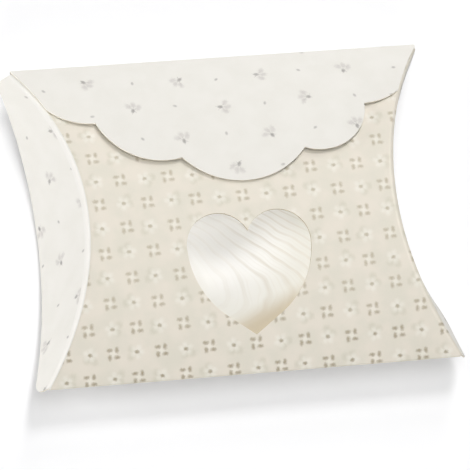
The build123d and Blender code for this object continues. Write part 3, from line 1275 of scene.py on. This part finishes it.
@dataclass
class PanelSheet:
    """A bowed panel with a flap at each end, bent from one grid whose columns are those of Bend.

    A flap starts at the first of its columns, just past the crease; from the second they are even.
    """

    workshop: Workshop
    crease_radius: float
    flap_steps: int
    flap_shift: Pair
    flap_columns: Pair = (2.03, 2.1)
    flap_stretch: float = 1.04
    crease_steps: int = 8
    column_step: float = 1.4
    row_step: float = 1.1

    @property
    def form(self) -> BoxForm:
        """The sizes that the sheets share."""
        return self.workshop.form

    @property
    def column_pitch(self) -> float:
        """The step between the panel's columns, as a share of half the box."""
        return 2 * self.column_step / self.form.width

    def section(self, y: float, side: Side) -> Bend:
        """The section of this kind of sheet.

        Args:
            y: place across the panel.
            side: the end of the box.

        Returns:
            The section.
        """
        raise NotImplementedError

    def grid(self, panel: list[float], rows: list[float]) -> Sheet:
        """A grid bent to the panel and its flaps.

        Args:
            panel: the panel's columns, from the middle to the right crease.
            rows: the Y of each row.

        Returns:
            The sheet. Its layer of regions has 0 on the panel and its creases, and -1 or 1 on a flap.
            Only the left crease shows as bare card.
        """
        first, even = self.flap_columns
        crease = spread(1.0, 2.0, 1 / self.crease_steps)
        half = joined(panel, crease, [first], spread(even, 3.0, (3.0 - even) / self.flap_steps))
        columns = [-column for column in reversed(half[1:])] + half
        sheet = bmesh.new()
        bmesh.ops.create_grid(sheet, x_segments=len(columns) - 1, y_segments=len(rows) - 1, size=1.0)
        place = sheet.verts.layers.float.new("column")
        for vert in sheet.verts:
            y = rows[round((vert.co.y + 1) / 2 * (len(rows) - 1))]
            column = columns[round((vert.co.x + 1) / 2 * (len(columns) - 1))]
            x, z = self.section(y, Side.RIGHT if column > 0 else Side.LEFT).point(abs(column))
            vert.co = (x if column > 0 else -x, y, z)
            vert[place] = column
        region = sheet.faces.layers.int.new(REGION)
        for face in sheet.faces:
            column = sum(vert[place] for vert in face.verts) / 4
            if abs(column) > first:
                face[region] = 1 if column > 0 else -1
            elif column < -1:
                face.material_index = Face.CREASE.value
        return sheet


@dataclass
class FrontSheet(PanelSheet):
    """The front panel with its window, the foot fold, and the two outer end flaps.

    Deeper under the panel's edge than fold_top_depth, every place is on the fold.
    """

    crease_radius: float = 1.1
    flap_steps: int = 10
    flap_shift: Pair = (60.0, 24.0)
    fold_steps: int = 12
    top_trim: float = 0.3
    bead: float = 0.16
    bead_columns: tuple[float, ...] = (0.988, 0.991, 0.994, 0.997)
    fold_top_depth: float = 1.0
    blend_from: float = 0.6
    blend_to: float = 3.0

    @cached_property
    def fold(self) -> Fold:
        """The foot fold, as if it lay on the +Y side."""
        return self.form.fold(self.form.radius, self.form.foot_radius)

    @cached_property
    def foot_y(self) -> float:
        """Distance from mid-height to where the panel meets the fold."""
        return self.form.radius * cos(self.fold.front_angle)

    @cached_property
    def foot_z(self) -> float:
        """Height just under the line where the panel meets the fold."""
        return self.form.front_z(self.foot_y) - NEAR

    @cached_property
    def edge(self) -> EndEdge:
        """The free edge of the end flaps."""
        return EndEdge(self.foot_y)

    def build(self) -> dict[str, bpy.types.Object]:
        """Bends the sheet and cuts it into its pieces.

        Returns:
            The pieces by name.
        """
        form = self.form
        wardrobe = self.workshop.wardrobe
        card = self.workshop.card
        sheet = self._bent()
        cutter = HeartWindow().cutter()
        pieces = {"front_sheet": card("front_sheet", tagged(sheet, 0), wardrobe.flowers, cutter)}
        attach(pieces["front_sheet"], "root")
        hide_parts("front_panel", "foot_fold")
        for side in Side:
            name = "end_sheet_" + side.name.lower()
            body = "outer_end_flap_" + side.name.lower()
            piece = card(name, tagged(sheet, side.value), wardrobe.sprigs)
            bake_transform(piece)
            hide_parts(body)
            pieces[name] = piece
        sheet.free()
        return pieces

    def section(self, y: float, side: Side) -> Bend:
        """The section. See PanelSheet.section for the arguments and the result."""
        form = self.form
        at = form.front_crease_x(y), form.front_z(y), self.edge.z(y)
        return Bend(*at, atan(form.slope(side, y)), self.crease_radius, 1.0, self.bead)

    def _bent(self) -> Sheet:
        """The whole sheet, bent.

        Returns:
            The sheet, with the region of each face and the flat pattern in its layers.
        """
        corner = self.edge.corner_rows()
        top = self.form.half_height - self.top_trim
        rows = joined(
            [-y for y in reversed(corner)],
            spread(-corner[0], corner[0], self.row_step),
            [y for y in corner if y < top],
            [top],
        )
        panel = spread(0.0, self.bead_columns[0], self.column_pitch)
        sheet = self.grid(panel + list(self.bead_columns), rows)
        row = row_at(sheet, -self.foot_y)
        row = [edge for edge in row if all(v.co.z > self.foot_z for v in edge.verts)]
        for y, z in self.fold.points(self.fold_steps):
            row = extruded(sheet, row, -y, z)
        outward(sheet, 1.0)
        mapped(sheet, self._flat_place)
        return sheet

    def _flat_place(self, region: int, x: float, y: float, z: float) -> Pair:
        """The flat place of a point. See mapped for the arguments and the result."""
        form = self.form
        fold = self.fold
        if region:
            along, out = self.flap_shift
            down = (form.front_z(y) - z) * sqrt(1 + form.slope(Side(region), y) ** 2)
            return y * self.flap_stretch + along, region * (down + out)
        if -y > self.foot_y + NEAR or z < self.foot_z - self.fold_top_depth:
            turned = fold.front_angle - atan2(z - fold.z, -y - fold.y)
            return x, -form.radius * (pi / 2 - fold.front_angle) - fold.radius * turned
        return x, form.radius * asin(y / form.radius)


@dataclass
class BackSheet(PanelSheet):
    """The back panel, printed outside, and the two inner end flaps that stand on it."""

    crease_radius: float = 0.7
    flap_steps: int = 9
    flap_shift: Pair = (70.0, 90.0)
    flap_margin: float = 1.5
    corner_trim: float = 2.5

    @property
    def corner(self) -> float:
        """Y where the flaps are trimmed."""
        return self.form.half_height - self.corner_trim

    def build(self) -> dict[str, bpy.types.Object]:
        """Bends the sheet and cuts it into its pieces.

        Returns:
            The pieces by name.
        """
        sheet = self._bent()
        wardrobe = self.workshop.wardrobe
        pieces = {"back_sheet": self.workshop.card("back_sheet", tagged(sheet, 0), wardrobe.sprigs)}
        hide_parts("back_panel")
        for side in Side:
            name = "inner_sheet_" + side.name.lower()
            pieces[name] = self.workshop.card(name, tagged(sheet, side.value), wardrobe.crease)
            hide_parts("inner_end_flap_" + side.name.lower())
        for piece in pieces.values():
            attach(piece, "root")
        sheet.free()
        return pieces

    def section(self, y: float, side: Side) -> Bend:
        """The section, alike at both ends. See PanelSheet.section for the arguments and the result."""
        form = self.form
        reach = form.radius - self.flap_margin
        edge = form.front_axis_z + sqrt(reach**2 - min(abs(y), self.corner) ** 2)
        return Bend(form.back_crease_x(y), form.back_z(y), edge, 0.0, self.crease_radius, -1.0)

    def _bent(self) -> Sheet:
        """The whole sheet, bent.

        Returns:
            The sheet, with the region of each face and the flat pattern in its layers.
        """
        form = self.form
        foot = form.radius * cos(form.fold(form.radius, form.foot_radius).back_angle)
        top = form.radius * cos(form.fold(form.flap_radius, form.top_radius).back_angle)
        ends = (-foot, -self.corner), (-self.corner, self.corner), (self.corner, top)
        rows = joined(*(spread(start, end, self.row_step) for start, end in ends))
        sheet = self.grid(spread(0.0, 1.0, self.column_pitch), rows)
        trimmed = [face for face in sheet.faces if self._is_trimmed(face)]
        bmesh.ops.delete(sheet, geom=trimmed, context="FACES")
        outward(sheet, -1.0)
        mapped(sheet, self._flat_place)
        return sheet

    def _is_trimmed(self, face: bmesh.types.BMFace) -> bool:
        """Whether a face of a flap or a crease lies past the trimmed corner."""
        rise = max(vert.co.z - self.form.back_z(vert.co.y) for vert in face.verts)
        return abs(face.calc_center_median().y) > self.corner and rise > NEAR

    def _flat_place(self, region: int, x: float, y: float, z: float) -> Pair:
        """The flat place of a point. See mapped for the arguments and the result."""
        if region:
            along, out = self.flap_shift
            return y * self.flap_stretch + along, z + out
        return x, self.form.radius * asin(y / self.form.radius)


@dataclass
class ClosingFlap:
    """The scalloped flap with the fold over the top that it hangs from.

    Cusps and crowns are shares of the box's width and height, from the middle of its top edge.
    """

    workshop: Workshop
    side_margin: float = 0.5
    first_cusp_drop: float = 0.143
    last_cusp_drop: float = 0.159
    inner_cusps: tuple = ((-0.321, 0.206), (-0.130, 0.342), (0.168, 0.336), (0.333, 0.199))
    crowns: tuple = ((-0.383, 0.188), (-0.247, 0.320), (0.019, 0.429), (0.279, 0.322), (0.382, 0.187))
    crown_step: float = 0.4
    spare: float = 3.0
    flatness: float = 0.7
    flat_from: float = 34.0
    side_fall: float = 0.27
    side_fall_width: float = 12.0
    row_step: float = 1.0
    column_step: float = 1.25
    fold_steps: int = 14
    blend_below: float = 0.5
    blend_above: float = 2.0

    @property
    def form(self) -> BoxForm:
        """The sizes that the sheets share."""
        return self.workshop.form

    @cached_property
    def fold(self) -> Fold:
        """The fold over the top."""
        return self.form.fold(self.form.flap_radius, self.form.top_radius)

    @cached_property
    def top(self) -> float:
        """Y where the flap meets the fold."""
        return self.form.flap_radius * cos(self.fold.front_angle)

    def build(self) -> dict[str, bpy.types.Object]:
        """Cuts and bends the flap.

        Returns:
            The pieces by name.
        """
        fold = self.fold
        wardrobe = self.workshop.wardrobe
        sheet = self._bent()
        piece = self.workshop.card("closing_sheet", sheet, wardrobe.sprigs, inside=wardrobe.flap_inside)
        low = fold.z - fold.radius * self.blend_below
        high = fold.z + fold.radius * self.blend_above
        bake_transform(piece)
        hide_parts("closing_flap", "top_fold")
        return {"closing_sheet": piece}

    def _bent(self) -> Sheet:
        """The whole sheet, bent.

        Returns:
            The sheet, with the flat pattern in its layer.
        """
        form = self.form
        sheet = self._outlined()
        self._cut(sheet, (0, self.top, 0), (0, 1, 0), True)
        low = min(vert.co.y for vert in sheet.verts)
        for y in spread(low, self.top, self.row_step)[1:-1]:
            self._cut(sheet, (0, y, 0), (0, 1, 0), False)
        for x in spread(-form.width / 2, form.width / 2, self.column_step)[1:-1]:
            self._cut(sheet, (x, 0, 0), (1, 0, 0), False)
        for vert in sheet.verts:
            x, y, _ = vert.co
            vert.co.z = min(form.flap_z(y) + self._stand_off(x, y, low), form.flap_z(low))
        row = row_at(sheet, self.top)
        for y, z in self.fold.points(self.fold_steps):
            row = extruded(sheet, row, y, z)
        outward(sheet, 1.0)
        mapped(sheet, self._flat_place)
        return sheet

    def _stand_off(self, x: float, y: float, low: float) -> float:
        """How far the flap stands off its even bow, since it bows a little less than the front.

        Args:
            x: X of the place.
            y: Y of the place.
            low: Y of the lowest scallop.

        Returns:
            The distance, below 0 where the flap's sides lie nearer to the front.
        """
        share = min(max(self.flat_from - y, 0.0) / (self.flat_from - low), 1.0)
        beside = clamped((abs(x) - self._side_x(y)) / self.side_fall_width + 1.0)
        away = self.flatness * 4 * share * (1 - share) * (1 - beside)
        return away - self.side_fall * beside**2 * clamped((self.top - y) / self.side_fall_width)

    def _flat_place(self, region: int, x: float, y: float, z: float) -> Pair:
        """The flat place of a point. See mapped for the arguments and the result."""
        form = self.form
        fold = self.fold
        if z < form.flap_z(self.top) - NEAR and y > fold.y:
            turned = fold.front_angle - atan2(z - fold.z, y - fold.y)
            return x, form.flap_radius * (pi / 2 - fold.front_angle) + fold.radius * turned
        return x, form.flap_radius * asin(min(y, self.top) / form.flap_radius)

    @staticmethod
    def _cut(sheet: Sheet, at: tuple, across: tuple, clear: bool) -> None:
        """Cuts the sheet along a plane.

        Args:
            sheet: the sheet.
            at: a point of the plane.
            across: the way that the plane faces.
            clear: whether what lies beyond is dropped.
        """
        geom = sheet.verts[:] + sheet.edges[:] + sheet.faces[:]
        plane = {"plane_co": at, "plane_no": across}
        bmesh.ops.bisect_plane(sheet, geom=geom, dist=CUT_NEAR, clear_outer=clear, **plane)

    def _side_x(self, y: float) -> float:
        """Distance of the flap's side from the middle, where it follows the crease.

        Args:
            y: place along the side.

        Returns:
            The distance along X.
        """
        form = self.form
        bend = arc_radius(form.half_height, form.crease_inset)
        level = bend - sqrt(bend**2 - min(y, form.half_height) ** 2)
        return form.width / 2 - form.crease_inset + level - self.side_margin

    def _outlined(self) -> Sheet:
        """The flat outline, seen in plan.

        Returns:
            A sheet of one face.
        """
        form = self.form
        half = form.half_height
        first_y = half - self.first_cusp_drop * form.height
        last_y = half - self.last_cusp_drop * form.height
        crease = self._side_x

        def placed(pair: Pair) -> Pair:
            """A point from its shares of the width and of the height."""
            return pair[0] * form.width, half - pair[1] * form.height

        side = form.width / 2 - self.side_margin
        beyond = half + self.spare
        cusps = [placed(pair) for pair in self.inner_cusps] + [(crease(last_y), last_y)]
        outline = Outline.begin(-side, half)
        outline.arc((-crease((half + first_y) / 2), (half + first_y) / 2), (-crease(first_y), first_y))
        for crown, cusp in zip(self.crowns, cusps):
            outline.arc(placed(crown), cusp, self.crown_step)
        outline.arc((crease((half + last_y) / 2), (half + last_y) / 2), (side, half))
        for x, y in ((side, beyond), (-side, beyond), (-side, half)):
            outline.line(x, y)
        return outline.filled()


# Studio


@dataclass(frozen=True)
class Lamp:
    """A soft lamp aimed at the box, in metres and watts."""

    name: str
    place: Triple
    size: float
    power: float

    def build(self) -> None:
        """Hangs the lamp."""
        light = bpy.data.lights.new(self.name, "AREA")
        light.shape = "DISK"
        light.size = self.size
        light.energy = self.power
        light.cycles.use_multiple_importance_sampling = False
        lamp = bpy.data.objects.new(self.name, light)
        place = Vector(self.place)
        aim = (-place).to_track_quat("-Z", "Y").to_matrix().to_4x4()
        lamp.matrix_world = Matrix.Translation(place) @ aim
        bpy.context.scene.collection.objects.link(lamp)


@dataclass(frozen=True)
class Studio:
    """A white table, soft lamps and the camera of the picture."""

    lamps: tuple[Lamp, ...] = (
        Lamp("key_lamp", (0.27, 0.6, 0.82), 0.3, 4.05),
        Lamp("low_key_lamp", (0.33, 0.82, 0.47), 0.3, 1.6),
        Lamp("left_lamp", (-0.95, 0.08, 0.14), 0.5, 5.3),
        Lamp("front_lamp", (-0.1, -0.95, 0.3), 0.5, 3.6),
        Lamp("overhead_lamp", (0.0, 0.0, 1.2), 1.0, 6.4),
    )
    white: Colour = (1.0, 1.0, 1.0, 1.0)
    world_level: float = 0.02
    floor_size: float = 3.0
    floor_cells: int = 8
    floor_z: float = -0.00003
    floor_tone: float = 0.86
    floor_blueness: float = 1.01
    floor_glow: float = 0.21
    camera_place: Triple = (-0.2304545, -0.2948711, 1.0202410)
    forward: Triple = (0.2134901, 0.2692584, -0.9391070)
    up: Triple = (0.0723790, 0.9529176, 0.2944647)
    pixels_focal: float = 4546.57
    pixels_wide: float = 470.0
    sensor: float = 36.0
    clip: Pair = (0.01, 20.0)

    def build(self) -> None:
        """Sets up the table, the light and the camera."""
        bpy.context.scene.view_settings.view_transform = "Standard"
        self._floor()
        self._world()
        for lamp in self.lamps:
            lamp.build()
        self._camera()

    def _camera(self) -> None:
        """Places the camera of the picture."""
        camera = bpy.data.cameras.new("picture_camera")
        camera.sensor_width = self.sensor
        camera.lens = self.pixels_focal / self.pixels_wide * self.sensor
        camera.clip_start, camera.clip_end = self.clip
        holder = bpy.data.objects.new("picture_camera", camera)
        back = -Vector(self.forward).normalized()
        right = Vector(self.up).cross(back).normalized()
        turn = Matrix((right, back.cross(right), back)).transposed().to_4x4()
        holder.matrix_world = Matrix.Translation(Vector(self.camera_place)) @ turn
        scene = bpy.context.scene
        scene.collection.objects.link(holder)
        scene.camera = holder

    def _floor(self) -> None:
        """Lays the white table, which shows as plain white but keeps the box's shadow."""
        table = bmesh.new()
        cells = self.floor_cells
        bmesh.ops.create_grid(table, x_segments=cells, y_segments=cells, size=self.floor_size / 2)
        bmesh.ops.translate(table, verts=table.verts[:], vec=(0, 0, self.floor_z))
        floor = placed_object("table", table)
        made = bpy.data.materials.new("table_white")
        made.use_nodes = True
        graph = Graph(made.node_tree)
        shader = made.node_tree.nodes["Principled BSDF"]
        seen = graph.node("LightPath").outputs["Is Camera Ray"]
        tone = self.floor_tone
        settings = {
            "Base Color": (tone, tone, tone * self.floor_blueness, 1.0),
            "Roughness": 1.0,
            "Specular IOR Level": 0.0,
            "Emission Color": self.white,
            "Emission Strength": graph.times(seen, self.floor_glow),
        }
        graph.fed(shader, settings, settings.values())
        floor.data.materials.append(made)

    def _world(self) -> None:
        """Fills the room with even light, white where the camera sees it."""
        world = bpy.data.worlds.new("studio_room")
        world.use_nodes = True
        graph = Graph(world.node_tree)
        background = world.node_tree.nodes["Background"]
        path = graph.node("LightPath").outputs
        seen = graph.math("MAXIMUM", path["Is Camera Ray"], path["Is Transmission Ray"])
        level = graph.math("MULTIPLY_ADD", seen, 1.0 - self.world_level, self.world_level)
        graph.fed(background, ("Color", "Strength"), (self.white, level))
        bpy.context.scene.world = world


def dress_glue_tab(frame: dict, wardrobe: Wardrobe) -> None:
    """Gives the glue tab, which stays as it is in the frame, its bare card.

    Args:
        frame: the loaded frame.
        wardrobe: the finishes.
    """
    tab = frame["nodes"]["glue_tab"]
    for slot in tab.material_slots:
        slot.material = wardrobe.plain
    if not tab.material_slots:
        tab.data.materials.append(wardrobe.plain)
    log.info("glue_tab: dressed")


def main() -> None:
    """Builds the box and the studio round the frame, and reports each piece."""
    logging.basicConfig(level=logging.INFO, format="%(name)s: %(message)s")
    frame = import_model()
    wardrobe = Wardrobe()
    workshop = Workshop(BoxForm(), wardrobe)
    for assembly in (FrontSheet(workshop), BackSheet(workshop), ClosingFlap(workshop)):
        for name, piece in assembly.build().items():
            log.info("%s: %d faces", name, len(piece.data.polygons))
    dress_glue_tab(frame, wardrobe)
    Studio().build()


if __name__ == "__main__":
    main()
